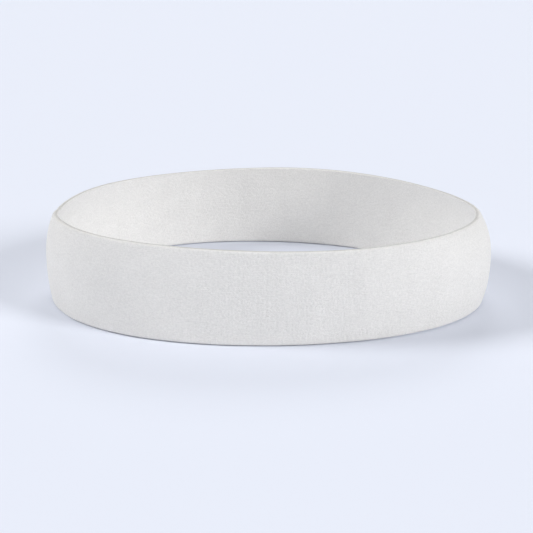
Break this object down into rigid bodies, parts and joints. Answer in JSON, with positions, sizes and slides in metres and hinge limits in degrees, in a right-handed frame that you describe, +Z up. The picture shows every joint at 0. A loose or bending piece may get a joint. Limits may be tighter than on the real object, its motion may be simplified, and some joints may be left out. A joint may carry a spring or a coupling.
{
  "type": "sports headband",
  "caption": "Wide soft knit sweatband in a closed oval loop, double layered over an inner elastic, worn round the head to keep hair and sweat off the face.",
  "frame": {"origin": "under the middle of the loop, on the surface that the bottom rim stands on", "axes": "+Z up through the loop; X along the oval's long axis, with the closing seam, worn at the back of the head, at -X; Y across it, with the flatter long side at -Y"},
  "size_m": [0.1954, 0.1632, 0.0375],
  "materials": {
    "cover_knit": "matt white cotton jersey knit, fine vertical wales, soft brushed hand",
    "lining_knit": "matt white cotton jersey knit, purl side, slightly coarser and softer than the cover",
    "elastic_web": "off-white ribbed knitted elastic",
    "sewing_thread": "white spun polyester thread, faint sheen"
  },
  "bodies": {
    "root": {"outer_cover": "cover_knit", "inner_lining": "lining_knit", "elastic_core": "elastic_web", "top_rim_thread": "sewing_thread", "bottom_rim_thread": "sewing_thread", "cover_closing_stitches": "sewing_thread", "lining_closing_stitches": "sewing_thread", "elastic_closing_stitches": "sewing_thread"}
  },
  "joints": []
}
